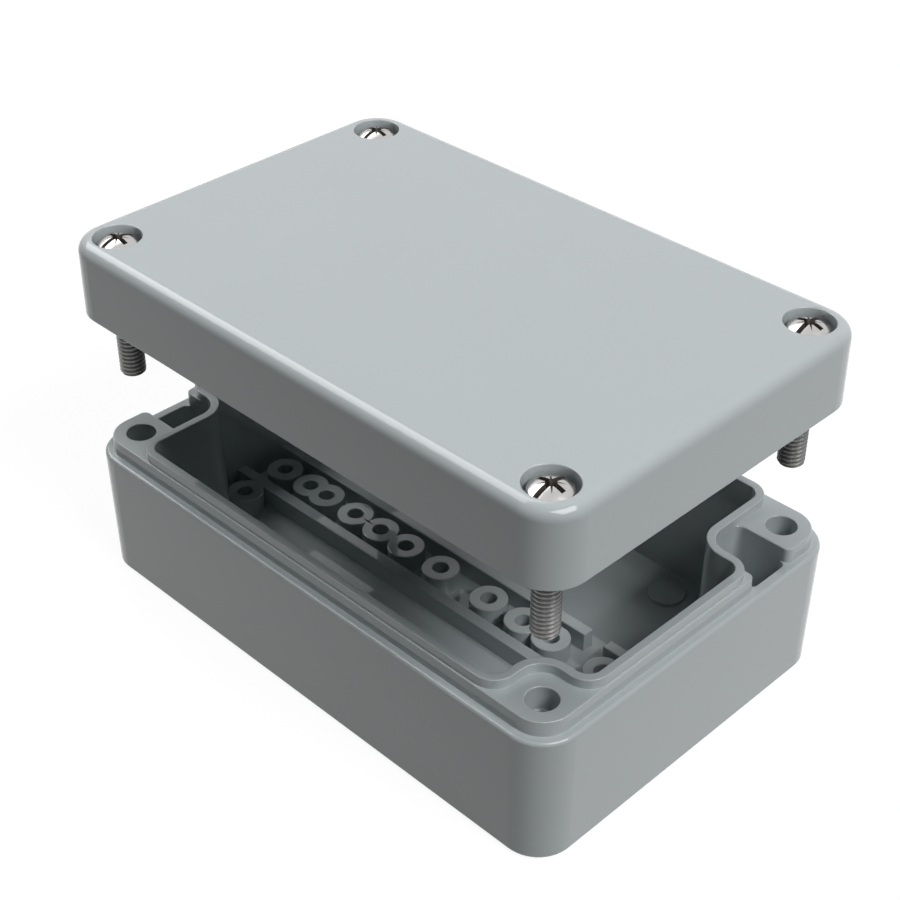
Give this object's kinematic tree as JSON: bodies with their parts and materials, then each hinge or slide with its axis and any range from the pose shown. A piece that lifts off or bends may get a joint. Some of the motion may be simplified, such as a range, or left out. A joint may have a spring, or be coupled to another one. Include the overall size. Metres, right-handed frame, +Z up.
{
  "type": "electronics enclosure",
  "caption": "Small die-cast metal enclosure for electronics, with a gasketed lid held above its base and captive lid screws.",
  "frame": {"origin": "centre of the base's underside", "axes": "+Z up through the lid, +X along the long side of the case, +Y along the short side"},
  "size_m": [0.098, 0.064, 0.0593],
  "materials": {
    "casting": "smooth semi-gloss silver-grey coat on die-cast aluminium",
    "seal": "matt black elastomer",
    "screw_steel": "bright plated steel"
  },
  "bodies": {
    "base": {"base_housing": "casting"},
    "lid": {"lid": "casting", "gasket": "seal"},
    "ring_1": {"screw_ring_1": "seal"},
    "ring_2": {"screw_ring_2": "seal"},
    "ring_3": {"screw_ring_3": "seal"},
    "ring_4": {"screw_ring_4": "seal"},
    "screw_1": {"lid_screw_1": "screw_steel"},
    "screw_2": {"lid_screw_2": "screw_steel"},
    "screw_3": {"lid_screw_3": "screw_steel"},
    "screw_4": {"lid_screw_4": "screw_steel"}
  },
  "joints": [
    {"name": "lid_lift", "type": "slide", "parent": "base", "child": "lid", "axis": [0, 0, 1], "range_m": [-0.02533, 0]},
    {"name": "screw_rise_1", "type": "slide", "parent": "lid", "child": "ring_1", "axis": [0, 0, 1], "range_m": [0, 0.0098]},
    {"name": "screw_turn_1", "type": "hinge", "parent": "ring_1", "child": "screw_1", "pos_m": [0.043, -0.026, 0.056], "axis": [0, 0, 1], "range_deg": [0, 5040]},
    {"name": "screw_rise_2", "type": "slide", "parent": "lid", "child": "ring_2", "axis": [0, 0, 1], "range_m": [0, 0.0098]},
    {"name": "screw_turn_2", "type": "hinge", "parent": "ring_2", "child": "screw_2", "pos_m": [0.043, 0.026, 0.056], "axis": [0, 0, 1], "range_deg": [0, 5040]},
    {"name": "screw_rise_3", "type": "slide", "parent": "lid", "child": "ring_3", "axis": [0, 0, 1], "range_m": [0, 0.0098]},
    {"name": "screw_turn_3", "type": "hinge", "parent": "ring_3", "child": "screw_3", "pos_m": [-0.043, 0.026, 0.056], "axis": [0, 0, 1], "range_deg": [0, 5040]},
    {"name": "screw_rise_4", "type": "slide", "parent": "lid", "child": "ring_4", "axis": [0, 0, 1], "range_m": [0, 0.0098]},
    {"name": "screw_turn_4", "type": "hinge", "parent": "ring_4", "child": "screw_4", "pos_m": [-0.043, -0.026, 0.056], "axis": [0, 0, 1], "range_deg": [0, 5040]}
  ],
  "couplings": [
    {"joint": "screw_turn_1", "follows": "screw_rise_1", "rad_per_m": 8976},
    {"joint": "screw_turn_2", "follows": "screw_rise_2", "rad_per_m": 8976},
    {"joint": "screw_turn_3", "follows": "screw_rise_3", "rad_per_m": 8976},
    {"joint": "screw_turn_4", "follows": "screw_rise_4", "rad_per_m": 8976}
  ]
}
